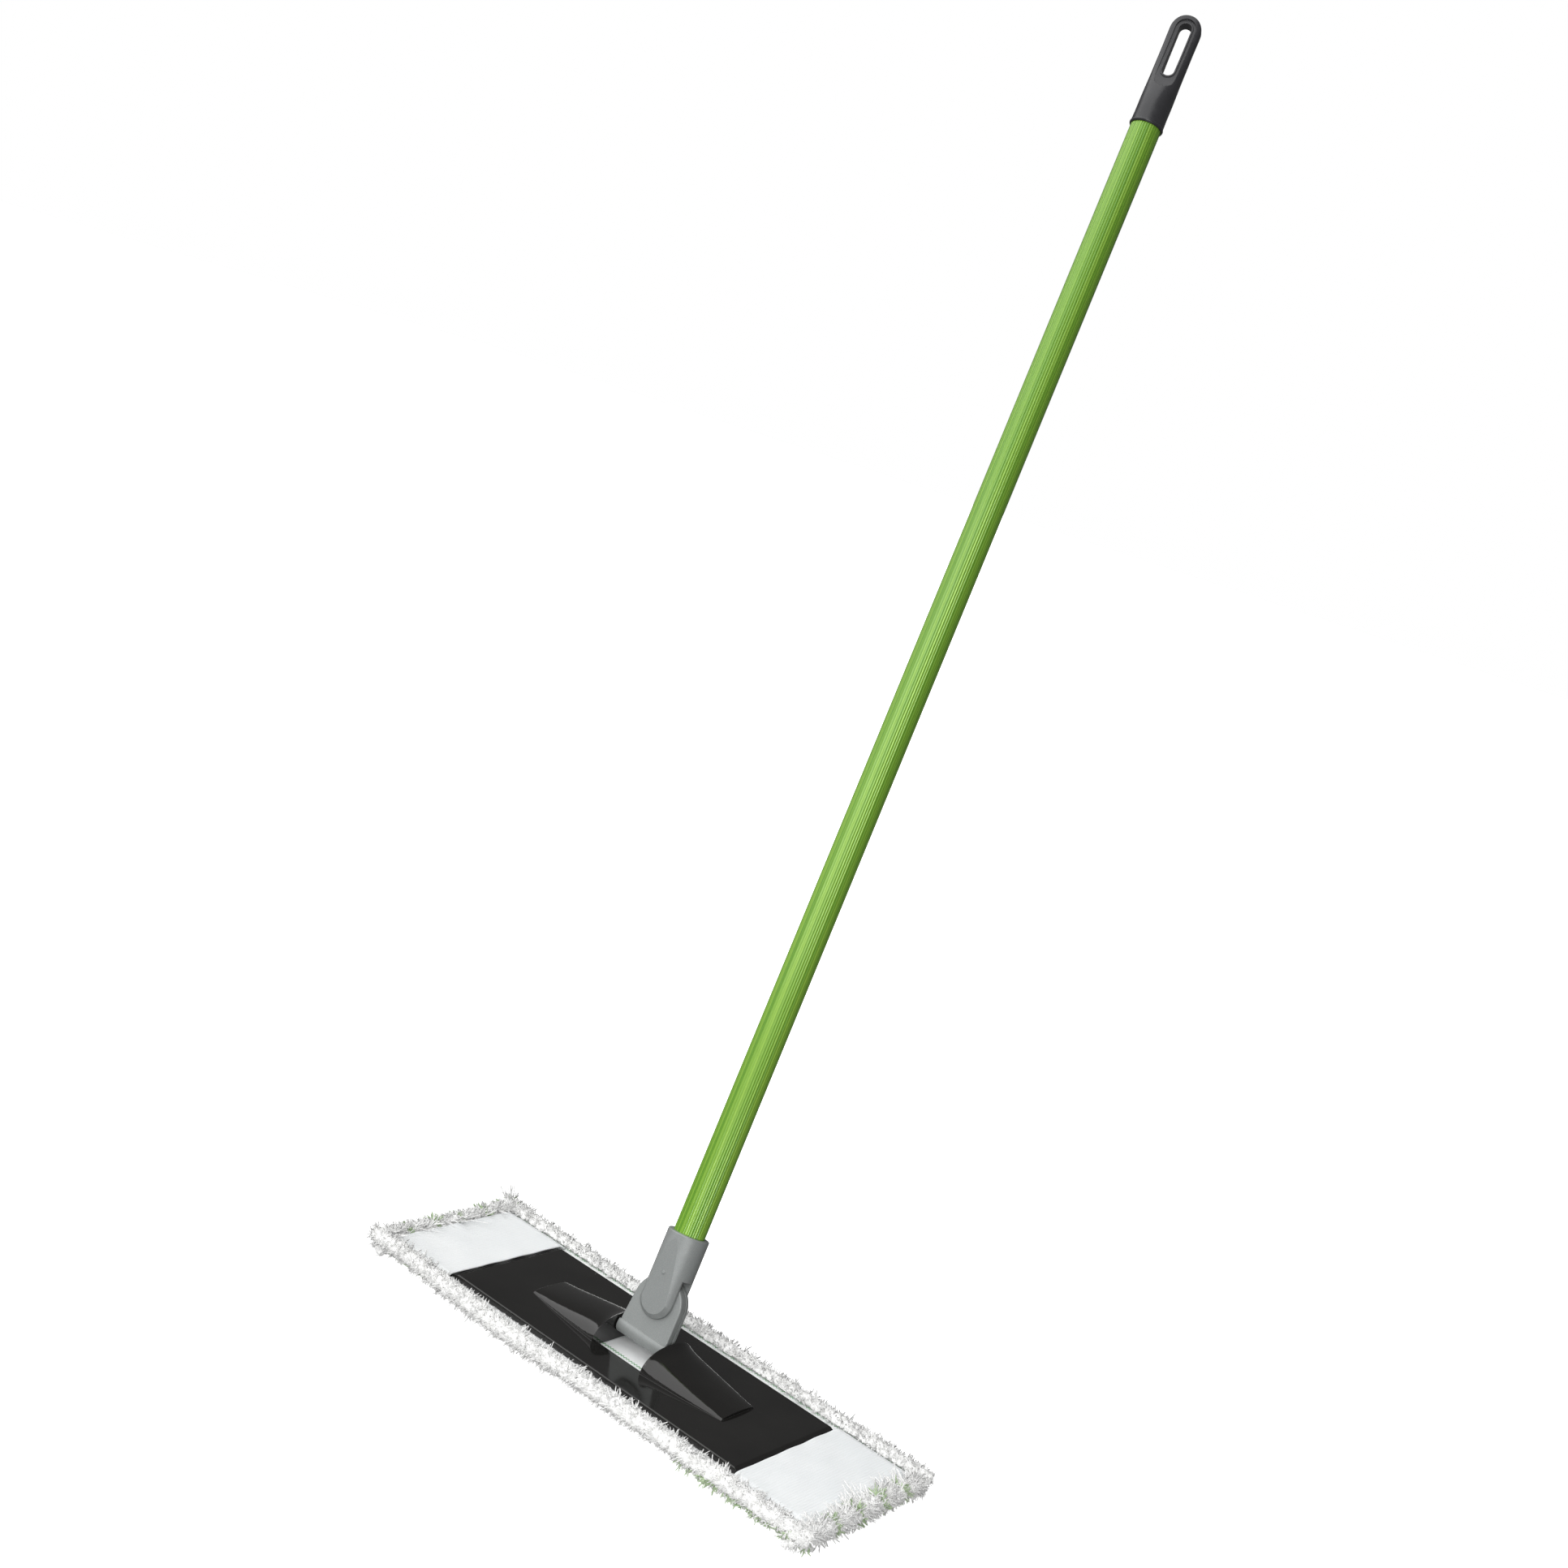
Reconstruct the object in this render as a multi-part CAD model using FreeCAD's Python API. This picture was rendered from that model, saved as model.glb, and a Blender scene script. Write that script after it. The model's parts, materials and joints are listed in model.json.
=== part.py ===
import FreeCAD, Part
import math
import os

# Flat mop: a one-piece plate in a pocketed pad, a yoke between two humps, and a handle on the yoke.
# Millimetres. +X along the plate, -Y the front, +Z up, origin at the centre of the pad's flat sole.

V = FreeCAD.Vector

# Cutting shapes run this far past what they cut
FAR = 100.0
PAST = 1.0
# Two lengths nearer than this are the same
SAME = 1e-4

# Rest pose of the two joints
LEAN_BACK = 15.1        # the yoke and handle lean towards +Y about the plate's axle
HANDLE_SWING = -3.7     # the handle leans towards -X about the yoke's pin

# Pad
SOLE_HALF_LENGTH = 215.0
SOLE_HALF_WIDTH = 83.0
SOLE_HEIGHT = 8.0
SOLE_CORNER = 14.0
SOLE_EDGE_ROUND = 2.0
FRINGE_INNER_X = 203.0
FRINGE_INNER_Y = 73.5
FRINGE_SIDE_TOP = 19.0
FRINGE_END_TOP = 16.0
FRINGE_ROUND = 3.8
STRIPE_Y = (-71.0, -42.6, -14.2, 14.2, 42.6, 71.0)
STRIPE_WIDTH = 4.6
STRIPE_SLOT = 5.2
STRIPE_LIFT = 0.3
BACKING_THICKNESS = 1.4
BACKING_CORNER = 2.0
SOFT_GAP = 0.2
STITCH_WIDTH = 2.4
STITCH_HEIGHT = 0.25
STITCH_END_GAP = 3.0

# Pockets
MOUTH_X = 139.5
POCKET_END_X = 202.2
POCKET_FOOT_Y = 68.2
POCKET_TOP_Y = 61.0
POCKET_TOP_END_X = 199.6
POCKET_CLOTH = 1.2
SEAM_WIDTH = 1.0
SEAM_END_WIDTH = 0.6
SEAM_HEIGHT = 0.6
SEAM_GAP = 0.2

# Plate
PLATE_HALF_LENGTH = 197.0
PLATE_HALF_WIDTH = 58.6
PLATE_BOTTOM = 10.2
PLATE_TOP = 14.5
PLATE_SKIN = 2.0
PLATE_WALL = 2.2
PLATE_CORNER = 7.0
PLATE_EDGE_ROUND = 1.3
TONGUE_X = 135.0
TONGUE_SLOPE = 3.0
TONGUE_DROP = 1.5
WINDOW_HALF_X = 23.6
WINDOW_HALF_Y = 25.8
WINDOW_CORNER = 1.5
RIB_THICKNESS = 1.6
RIB_X = (50.0, 85.0, 120.0, 160.0)

# Humps, as height and half-width over the plate from the window out to the tip
HUMP_START = 23.6
HUMP_TIP = 93.0
HUMP_STEPS = 12
HUMP_TIP_HEIGHT = 2.6
HUMP_SLOPE = 0.16
HUMP_LIP_HEIGHT = 3.0
HUMP_LIP_REACH = 4.0
HUMP_TIP_HALF = 19.4
HUMP_TAPER = 0.1455
HUMP_BULGE = 0.9
HUMP_POWER = 2.3
HUMP_ARC_STEP = 15
HUMP_SKIN = 2.0
HUMP_FOOT = 1.5
HUMP_BOSS_X = 29.7
HUMP_HOLLOW_END = 80.0
HUMP_OPEN_Y = 15.0

# Axle and yoke
AXLE_Z = 24.3
AXLE_RADIUS = 2.0
AXLE_HALF_LENGTH = 29.4
AXLE_CHAMFER = 0.4
AXLE_BORE = 2.03
BARREL_BORE = 2.06
BARREL_RADIUS = 6.8
BARREL_HALF_LENGTH = 22.9
BARREL_EDGE = 0.8
TONGUE_HALF_THICKNESS = 5.5
SHELF_HEIGHT = 3.2
SIDE_FOOT = 22.4
KNUCKLE_RADIUS = 21.0
PIN_HEIGHT = 26.0
YOKE_EDGE = 1.2
YOKE_LOW = -2.0
GROOVE_Y = 0.4
GROOVE_WIDTH = 1.1
GROOVE_DEPTH = 1.2
GROOVE_LOW = 5.0

# Swivel pin, along the yoke's thickness
PIN_RADIUS = 3.0
PIN_BORE_YOKE = 3.05
PIN_BORE_SOCKET = 3.02
PIN_FRONT = -8.6
PIN_BACK = 9.6
PIN_CHAMFER = 0.5
PIN_END_GAP = 0.1

# Socket, heights from the pin
SOCKET_RADIUS = 16.0
SOCKET_MOUTH = 54.3
CROTCH = 22.8
FORK_HALF_GAP = 5.8
TINE_RADIUS = 14.0
TINE_CENTRE = 3.6
TINE_EDGE = 3.2
TINE_EDGE_TOP = 2.0
FACET_TOP = 50.0
FACET_LOW = -14.0
FACET_LOW_Y = 10.3
TUBE_SEAT = 33.0
TUBE_BORE = 12.06
THREAD_BORE = 10.1
THREAD_FLOOR = 26.0
MOUTH_EDGE = 0.9
GATE_RADIUS = 1.3
GATE_HEIGHT = 0.45
GATE_Z = 24.0

# Thread plug in the tube's lower end
PLUG_RADIUS = 11.2
PLUG_TOP = 62.0
PLUG_BORE = 7.0
PLUG_FLOOR = 3.0
PLUG_SEAT_GAP = 0.5
THREAD_ROOT = 9.2
THREAD_ROOT_GAP = 0.6
THREAD_CREST = 10.0
THREAD_START = 1.2
THREAD_END = 1.0
THREAD_PITCH = 2.0

# Tube
TUBE_RADIUS = 12.0
TUBE_FLUTE = 0.28
TUBE_FLUTES = 36
TUBE_INNER = 11.3
TUBE_TOP = 974.4
TUBE_END_GAP = 0.2

# Hanger cap, heights from its rim
CAP_RIM = 955.2
CAP_TURN = 20.0
CAP_LENGTH = 94.4
CAP_RADIUS = 12.75
CAP_BORE = 12.06
CAP_BORE_DEPTH = 19.5
CAP_HALF_WIDTH = 12.35
CAP_OUTLINE_SLACK = 0.02
CAP_EDGE = 1.2
CAP_ARC_STEP = 12
CAP_SECTIONS = (
    (0.0, CAP_RADIUS, CAP_RADIUS, 2.0),
    (10.0, CAP_RADIUS, CAP_RADIUS, 2.0),
    (20.0, CAP_RADIUS, CAP_RADIUS, 2.0),
    (30.0, 12.65, 11.2, 2.1),
    (40.0, 12.45, 8.7, 2.35),
    (50.0, 12.4, 6.7, 2.7),
    (60.0, 12.35, 5.7, 3.0),
    (70.0, 12.35, 5.4, 3.1),
    (85.0, 12.35, 5.4, 3.1),
    (97.0, 12.35, 5.4, 3.1),
)
BEAD_RADIUS = 13.45
BEAD_HEIGHT = 3.0
HANG_SLOT_LOW = 42.0
HANG_SLOT_HIGH = 87.6
HANG_SLOT_HALF = 4.7
RECESS_LOW = 31.5
RECESS_HIGH = 90.9
RECESS_HALF = 7.9
RECESS_DEPTH = 1.5
LIP_DEPTH = 0.8
LIP_WIDTH = 1.3


def box(x0, x1, y0, y1, z0, z1):
    return Part.makeBox(x1 - x0, y1 - y0, z1 - z0, V(x0, y0, z0))


def centred_box(half_x, half_y, z0, z1):
    return box(-half_x, half_x, -half_y, half_y, z0, z1)


def cylinder(radius, length, start, axis):
    return Part.makeCylinder(radius, length, V(*start), V(*axis))


def prism(points, direction):
    face = Part.Face(Part.makePolygon([V(*p) for p in points] + [V(*points[0])]))
    return face.extrude(V(*direction))


def is_upright(edge):
    tangent = edge.tangentAt(edge.FirstParameter)
    return abs(tangent.z) > 0.99


def rounded_box(half_x, half_y, z0, z1, radius):
    block = centred_box(half_x, half_y, z0, z1)
    return block.makeFillet(radius, [e for e in block.Edges if is_upright(e)])


def edges_at_height(shape, z):
    found = []
    for edge in shape.Edges:
        if abs(edge.BoundBox.ZMin - z) < SAME and abs(edge.BoundBox.ZMax - z) < SAME:
            found.append(edge)
    return found


def stadium(half_width, z0, z1, y0, y1):
    # Upright slot shape through Y
    slot = box(-half_width, half_width, y0, y1, z0 + half_width, z1 - half_width)
    for z in (z0 + half_width, z1 - half_width):
        slot = slot.fuse(cylinder(half_width, y1 - y0, (0, y0, z), (0, 1, 0)))
    return slot.removeSplitter()


# ---------------------------------------------------------------- pad

def pad_block():
    sole = rounded_box(SOLE_HALF_LENGTH, SOLE_HALF_WIDTH, 0, SOLE_HEIGHT, SOLE_CORNER)
    return sole.makeFillet(SOLE_EDGE_ROUND, edges_at_height(sole, 0))


def stripe_slabs(width):
    half = width / 2
    reach = SOLE_HALF_LENGTH + PAST
    return [box(-reach, reach, y - half, y + half, -PAST, FAR) for y in STRIPE_Y]


def sole_pile():
    return pad_block().cut(Part.makeCompound(stripe_slabs(STRIPE_SLOT)))


def sole_stripes():
    reach = SOLE_HALF_LENGTH + PAST
    lifted = pad_block().common(centred_box(reach, reach, STRIPE_LIFT, SOLE_HEIGHT - SOFT_GAP))
    return Part.makeCompound([lifted.common(slab) for slab in stripe_slabs(STRIPE_WIDTH)])


def fringe_bar(x0, x1, y0, y1, top):
    bar = box(x0, x1, y0, y1, SOLE_HEIGHT + SOFT_GAP, top)
    return bar.makeFillet(FRINGE_ROUND, edges_at_height(bar, top))


def side_fringe(sign):
    y0, y1 = sorted((sign * FRINGE_INNER_Y, sign * SOLE_HALF_WIDTH))
    return fringe_bar(-SOLE_HALF_LENGTH, SOLE_HALF_LENGTH, y0, y1, FRINGE_SIDE_TOP)


def end_fringe_block(sign):
    x0, x1 = sorted((sign * FRINGE_INNER_X, sign * SOLE_HALF_LENGTH))
    reach = FRINGE_INNER_Y - SOFT_GAP
    return fringe_bar(x0, x1, -reach, reach, FRINGE_END_TOP)


def end_fringe(sign):
    return end_fringe_block(sign).cut(Part.makeCompound(stripe_slabs(STRIPE_SLOT)))


def fringe_stripes():
    pieces = []
    for sign in (-1, 1):
        block = end_fringe_block(sign)
        for slab in stripe_slabs(STRIPE_WIDTH):
            pieces.append(block.common(slab))
    return Part.makeCompound(pieces)


def backing():
    z0 = SOLE_HEIGHT + SOFT_GAP
    half_x = FRINGE_INNER_X - SOFT_GAP
    half_y = FRINGE_INNER_Y - SOFT_GAP
    return rounded_box(half_x, half_y, z0, z0 + BACKING_THICKNESS, BACKING_CORNER)


def backing_top():
    return SOLE_HEIGHT + SOFT_GAP + BACKING_THICKNESS


def stripe_stitches():
    z0 = backing_top()
    half = STITCH_WIDTH / 2
    reach = FRINGE_INNER_X - STITCH_END_GAP
    strips = [box(-reach, reach, y - half, y + half, z0, z0 + STITCH_HEIGHT) for y in STRIPE_Y]
    return Part.makeCompound(strips)


def rectangle_wire(x0, x1, half_y, z):
    corners = [(x0, -half_y), (x1, -half_y), (x1, half_y), (x0, half_y), (x0, -half_y)]
    return Part.makePolygon([V(x, y, z) for x, y in corners])


def pocket(sign):
    foot = PLATE_BOTTOM - SOFT_GAP
    top = PLATE_TOP - TONGUE_DROP + SOFT_GAP + POCKET_CLOTH
    outer = Part.makeLoft([
        rectangle_wire(MOUTH_X, POCKET_END_X, POCKET_FOOT_Y, foot),
        rectangle_wire(MOUTH_X, POCKET_TOP_END_X, POCKET_TOP_Y, top),
    ], True, True)
    inner = Part.makeLoft([
        rectangle_wire(MOUTH_X - PAST, POCKET_END_X - POCKET_CLOTH, POCKET_FOOT_Y - POCKET_CLOTH, foot - PAST),
        rectangle_wire(MOUTH_X - PAST, POCKET_TOP_END_X - POCKET_CLOTH, POCKET_TOP_Y - POCKET_CLOTH,
                       top - POCKET_CLOTH),
    ], True, True)
    sleeve = outer.cut(inner)
    if sign < 0:
        sleeve = sleeve.mirror(V(0, 0, 0), V(1, 0, 0))
    return sleeve


def pocket_seams(sign):
    z0 = PLATE_BOTTOM - SOFT_GAP
    y0 = POCKET_FOOT_Y + SEAM_GAP
    x0 = POCKET_END_X + SEAM_GAP
    outer = box(MOUTH_X, x0 + SEAM_END_WIDTH, -y0 - SEAM_WIDTH, y0 + SEAM_WIDTH, z0, z0 + SEAM_HEIGHT)
    seam = outer.cut(box(MOUTH_X - PAST, x0, -y0, y0, z0 - PAST, z0 + SEAM_HEIGHT + PAST))
    if sign < 0:
        seam = seam.mirror(V(0, 0, 0), V(1, 0, 0))
    return seam


# ---------------------------------------------------------------- plate

def hump_size(x):
    # Height and half-width at one distance from the middle
    along = (x - HUMP_START) / (HUMP_TIP - HUMP_START)
    height = HUMP_TIP_HEIGHT + HUMP_SLOPE * (HUMP_TIP - x)
    height += HUMP_LIP_HEIGHT * math.exp(-(x - HUMP_START) / HUMP_LIP_REACH)
    half = HUMP_TIP_HALF + HUMP_TAPER * (HUMP_TIP - x) + HUMP_BULGE * math.sin(math.pi * along)
    return height, half


def hump_wire(x, skin):
    # Rounded arch on the plate, smaller by skin
    height, half = (size - skin for size in hump_size(x))
    points = []
    for degrees in range(0, 181, HUMP_ARC_STEP):
        a = math.radians(degrees)
        across = math.copysign(abs(math.cos(a)) ** (2 / HUMP_POWER), math.cos(a))
        rise = math.sin(a) ** (2 / HUMP_POWER)
        points.append(V(x, half * across, PLATE_TOP + height * rise))
    arch = Part.BSplineCurve()
    arch.interpolate(points)
    low = PLATE_TOP - HUMP_FOOT
    foot = Part.makePolygon([points[-1], V(x, -half, low), V(x, half, low), points[0]])
    return Part.Wire([arch.toShape()] + foot.Edges)


def hump(start, end, skin=0.0):
    # The hump at +X from start to end
    step = (end - start) / HUMP_STEPS
    return Part.makeLoft([hump_wire(start + i * step, skin) for i in range(HUMP_STEPS + 1)], True, False)


def plate_slab():
    slab = rounded_box(PLATE_HALF_LENGTH, PLATE_HALF_WIDTH, PLATE_BOTTOM, PLATE_TOP, PLATE_CORNER)
    slab = slab.makeFillet(PLATE_EDGE_ROUND, edges_at_height(slab, PLATE_TOP))
    low = PLATE_TOP - TONGUE_DROP
    for sign in (-1, 1):
        end = sign * (PLATE_HALF_LENGTH + PAST)
        step = [(sign * TONGUE_X, PLATE_TOP), (sign * (TONGUE_X + TONGUE_SLOPE), low),
                (end, low), (end, PLATE_TOP + PAST), (sign * TONGUE_X, PLATE_TOP + PAST)]
        slab = slab.cut(prism([(x, -FAR, z) for x, z in step], (0, 2 * FAR, 0)))
    return slab


def plate_hollow():
    # Open from below, with a wall round the outside, a rim round the window and ribs
    floor = PLATE_BOTTOM - PAST
    ceiling = PLATE_TOP - PLATE_SKIN
    half_y = PLATE_HALF_WIDTH - PLATE_WALL
    hollow = centred_box(TONGUE_X - PLATE_WALL, half_y, floor, ceiling)
    hollow = hollow.fuse(centred_box(PLATE_HALF_LENGTH - PLATE_WALL, half_y, floor, ceiling - TONGUE_DROP))
    rim_x = WINDOW_HALF_X + PLATE_WALL
    rim_y = WINDOW_HALF_Y + PLATE_WALL
    ribs = [centred_box(rim_x, rim_y, floor - PAST, PLATE_TOP)]
    ribs.append(centred_box(PLATE_HALF_LENGTH, RIB_THICKNESS / 2, floor - PAST, PLATE_TOP))
    for x in RIB_X:
        for middle in (-x, x):
            x0 = middle - RIB_THICKNESS / 2
            ribs.append(box(x0, x0 + RIB_THICKNESS, -FAR, FAR, floor - PAST, PLATE_TOP))
    return hollow.cut(Part.makeCompound(ribs))


def base_plate():
    outside = hump(HUMP_START, HUMP_TIP)
    inside = hump(HUMP_BOSS_X, HUMP_HOLLOW_END, HUMP_SKIN)
    inside = inside.fuse(box(HUMP_BOSS_X, HUMP_HOLLOW_END, -HUMP_OPEN_Y, HUMP_OPEN_Y,
                             PLATE_BOTTOM - PAST, PLATE_TOP))
    mirror = (V(0, 0, 0), V(1, 0, 0))
    plate = plate_slab().fuse([outside, outside.mirror(*mirror)])
    plate = plate.cut(plate_hollow()).cut(inside).cut(inside.mirror(*mirror))
    through = (PLATE_BOTTOM - PAST, PLATE_TOP + FAR)
    plate = plate.cut(rounded_box(WINDOW_HALF_X, WINDOW_HALF_Y, *through, WINDOW_CORNER))
    wall = HUMP_BOSS_X - WINDOW_HALF_X
    for x in (-HUMP_BOSS_X, WINDOW_HALF_X):
        plate = plate.cut(cylinder(AXLE_BORE, wall + 2 * PAST, (x - PAST, 0, AXLE_Z), (1, 0, 0)))
    return plate


def hinge_axle():
    axle = cylinder(AXLE_RADIUS, 2 * AXLE_HALF_LENGTH, (-AXLE_HALF_LENGTH, 0, AXLE_Z), (1, 0, 0))
    return axle.makeChamfer(AXLE_CHAMFER, [e for e in axle.Edges if e.BoundBox.XLength < SAME])


# ---------------------------------------------------------------- yoke, built upright

def yoke_outline(inset=0.0):
    foot = SIDE_FOOT - inset
    top = KNUCKLE_RADIUS - inset
    points = [(-foot, YOKE_LOW), (foot, YOKE_LOW), (top, PIN_HEIGHT), (-top, PIN_HEIGHT)]
    depth = 2 * TONGUE_HALF_THICKNESS
    body = prism([(x, -TONGUE_HALF_THICKNESS, z) for x, z in points], (0, depth, 0))
    disc = cylinder(top, depth, (0, -TONGUE_HALF_THICKNESS, PIN_HEIGHT), (0, 1, 0))
    return body.fuse(disc).removeSplitter()


def yoke():
    tongue = yoke_outline()
    faces_edges = []
    for edge in tongue.Edges:
        bound = edge.BoundBox
        if bound.YLength < SAME and bound.ZMax > PAST:
            faces_edges.append(edge)
    tongue = tongue.makeFillet(YOKE_EDGE, faces_edges)
    barrel = cylinder(BARREL_RADIUS, 2 * BARREL_HALF_LENGTH, (-BARREL_HALF_LENGTH, 0, 0), (1, 0, 0))
    barrel = barrel.makeFillet(BARREL_EDGE, [e for e in barrel.Edges if e.BoundBox.XLength < SAME])
    barrel = barrel.cut(centred_box(FAR, FAR, SHELF_HEIGHT, FAR))
    shape = tongue.fuse(barrel)
    groove = box(-FAR, FAR, GROOVE_Y, GROOVE_Y + GROOVE_WIDTH, GROOVE_LOW, FAR)
    shape = shape.cut(groove.cut(yoke_outline(GROOVE_DEPTH)))
    shape = shape.cut(cylinder(BARREL_BORE, 2 * FAR, (-FAR, 0, 0), (1, 0, 0)))
    return shape.cut(cylinder(PIN_BORE_YOKE, 2 * FAR, (0, -FAR, PIN_HEIGHT), (0, 1, 0)))


# ---------------------------------------------------------------- handle, built upright on the pin

def swivel_pin():
    pin = cylinder(PIN_RADIUS, PIN_BACK - PIN_FRONT, (0, PIN_FRONT, 0), (0, 1, 0))
    return pin.makeChamfer(PIN_CHAMFER, [e for e in pin.Edges if e.BoundBox.YLength < SAME])


def facet_cutters():
    cutters = []
    for sign in (-1, 1):
        side = [(sign * SOCKET_RADIUS, FACET_TOP), (sign * FACET_LOW_Y, FACET_LOW),
                (sign * FAR, FACET_LOW), (sign * FAR, FACET_TOP)]
        cutters.append(prism([(-FAR, y, z) for y, z in side], (2 * FAR, 0, 0)))
    return cutters


def facet_y(z):
    slope = (SOCKET_RADIUS - FACET_LOW_Y) / (FACET_TOP - FACET_LOW)
    return SOCKET_RADIUS - slope * (FACET_TOP - z)


def tine_end_edges(shape):
    # The lower outline of the flat faces, from the round end up to its sides
    found = []
    for edge in shape.Edges:
        bound = edge.BoundBox
        outward = min(abs(bound.YMin), abs(bound.YMax)) > FORK_HALF_GAP + PAST
        if outward and bound.ZMax < TINE_EDGE_TOP and bound.XLength > PAST:
            found.append(edge)
    return found


def handle_socket():
    low = TINE_CENTRE - TINE_RADIUS
    body = cylinder(SOCKET_RADIUS, SOCKET_MOUTH - low, (0, 0, low), (0, 0, 1))
    for cutter in facet_cutters():
        body = body.cut(cutter)
    outline = cylinder(TINE_RADIUS, 2 * FAR, (0, -FAR, TINE_CENTRE), (0, 1, 0))
    outline = outline.fuse(box(-TINE_RADIUS, TINE_RADIUS, -FAR, FAR, TINE_CENTRE, CROTCH)).removeSplitter()
    tines = body.common(outline)
    tines = tines.makeChamfer(TINE_EDGE, tine_end_edges(tines))
    upper = body.common(box(-FAR, FAR, -FAR, FAR, CROTCH, SOCKET_MOUTH))
    shape = upper.fuse(tines).removeSplitter()
    shape = shape.makeFillet(MOUTH_EDGE, edges_at_height(shape, SOCKET_MOUTH))
    shape = shape.cut(box(-FAR, FAR, -FORK_HALF_GAP, FORK_HALF_GAP, -FAR, CROTCH))
    shape = shape.cut(cylinder(TUBE_BORE, SOCKET_MOUTH, (0, 0, TUBE_SEAT), (0, 0, 1)))
    shape = shape.cut(cylinder(THREAD_BORE, TUBE_SEAT, (0, 0, THREAD_FLOOR), (0, 0, 1)))
    shape = shape.cut(cylinder(PIN_BORE_SOCKET, FAR, (0, PIN_FRONT - PIN_END_GAP, 0), (0, 1, 0)))
    face = -facet_y(GATE_Z)
    gate = cylinder(GATE_RADIUS, 2 * PAST, (0, face + 2 * PAST - GATE_HEIGHT, GATE_Z), (0, -1, 0))
    return shape.fuse(gate)


def thread_plug():
    foot = TUBE_SEAT + PLUG_SEAT_GAP
    plug = cylinder(PLUG_RADIUS, PLUG_TOP - foot, (0, 0, foot), (0, 0, 1))
    plug = plug.fuse(cylinder(THREAD_ROOT, TUBE_SEAT - THREAD_FLOOR, (0, 0, THREAD_FLOOR + THREAD_ROOT_GAP),
                              (0, 0, 1)))
    z = THREAD_FLOOR + THREAD_START
    while z < TUBE_SEAT - THREAD_END:
        plug = plug.fuse(cylinder(THREAD_CREST, THREAD_PITCH / 2, (0, 0, z), (0, 0, 1)))
        z += THREAD_PITCH
    return plug.cut(cylinder(PLUG_BORE, FAR, (0, 0, THREAD_FLOOR + PLUG_FLOOR), (0, 0, 1)))


def handle_tube():
    valley = TUBE_RADIUS - TUBE_FLUTE
    step = 2 * math.pi / TUBE_FLUTES
    arcs = []
    for i in range(TUBE_FLUTES):
        a0 = i * step
        ends = [V(valley * math.cos(a), valley * math.sin(a), 0) for a in (a0, a0 + step)]
        crest = V(TUBE_RADIUS * math.cos(a0 + step / 2), TUBE_RADIUS * math.sin(a0 + step / 2), 0)
        arcs.append(Part.Arc(ends[0], crest, ends[1]).toShape())
    ribbed = Part.Face(Part.Wire(arcs)).extrude(V(0, 0, TUBE_TOP - TUBE_SEAT))
    ribbed.translate(V(0, 0, TUBE_SEAT + TUBE_END_GAP))
    return ribbed.cut(cylinder(TUBE_INNER, TUBE_TOP, (0, 0, 0), (0, 0, 1)))


def oval_wire(z, half_x, half_y, power):
    points = []
    for degrees in range(0, 360, CAP_ARC_STEP):
        a = math.radians(degrees)
        x = math.copysign(abs(math.cos(a)) ** (2 / power), math.cos(a))
        y = math.copysign(abs(math.sin(a)) ** (2 / power), math.sin(a))
        points.append(V(half_x * x, half_y * y, z))
    oval = Part.BSplineCurve()
    oval.interpolate(points, PeriodicFlag=True)
    return Part.Wire([oval.toShape()])


def cap_slab(depth):
    # The cap's middle, lower than its front and back faces by depth
    side = [(half_y - depth, z) for z, _, half_y, _ in CAP_SECTIONS]
    mirrored = [(-y, z) for y, z in reversed(side)]
    return prism([(-FAR, y, z) for y, z in side + mirrored], (2 * FAR, 0, 0))


def hanger_cap():
    body = Part.makeLoft([oval_wire(*section) for section in CAP_SECTIONS], True, False)
    shoulder = CAP_LENGTH - CAP_HALF_WIDTH
    front = box(-FAR, FAR, -FAR, FAR, -PAST, shoulder)
    front = front.fuse(cylinder(CAP_HALF_WIDTH + CAP_OUTLINE_SLACK, 2 * FAR, (0, -FAR, shoulder), (0, 1, 0)))
    body = body.common(front).removeSplitter()
    rounded = [e for e in body.Edges if e.BoundBox.ZMax > shoulder + CAP_EDGE]
    body = body.makeFillet(CAP_EDGE, [e for e in rounded if e.BoundBox.XLength > CAP_HALF_WIDTH])
    bead = BEAD_HEIGHT / 2
    body = body.fuse(Part.makeTorus(BEAD_RADIUS - bead, bead, V(0, 0, bead), V(0, 0, 1)))
    around = stadium(RECESS_HALF, RECESS_LOW, RECESS_HIGH, -FAR, FAR)
    lip = stadium(HANG_SLOT_HALF + LIP_WIDTH, HANG_SLOT_LOW - LIP_WIDTH, HANG_SLOT_HIGH + LIP_WIDTH, -FAR, FAR)
    body = body.cut(around.cut(lip).cut(cap_slab(RECESS_DEPTH)))
    body = body.cut(lip.cut(cap_slab(LIP_DEPTH)))
    body = body.cut(stadium(HANG_SLOT_HALF, HANG_SLOT_LOW, HANG_SLOT_HIGH, -FAR, FAR))
    body = body.cut(cylinder(CAP_BORE, CAP_BORE_DEPTH + PAST, (0, 0, -PAST), (0, 0, 1)))
    body.rotate(V(0, 0, 0), V(0, 0, 1), CAP_TURN)
    body.translate(V(0, 0, CAP_RIM))
    return body


# ---------------------------------------------------------------- placing and writing

def lean(shape):
    moved = shape.copy()
    moved.rotate(V(0, 0, 0), V(1, 0, 0), -LEAN_BACK)
    moved.translate(V(0, 0, AXLE_Z))
    return moved


def on_handle(shape):
    moved = shape.copy()
    moved.rotate(V(0, 0, 0), V(0, 1, 0), HANDLE_SWING)
    moved.translate(V(0, 0, PIN_HEIGHT))
    return lean(moved)


def write(name, shape):
    for solid in shape.Solids:
        if not solid.isValid():
            print("not valid:", name)
    print(name, len(shape.Solids), round(shape.Volume, 1))
    shape.exportStep("parts/" + name + ".step")


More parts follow.
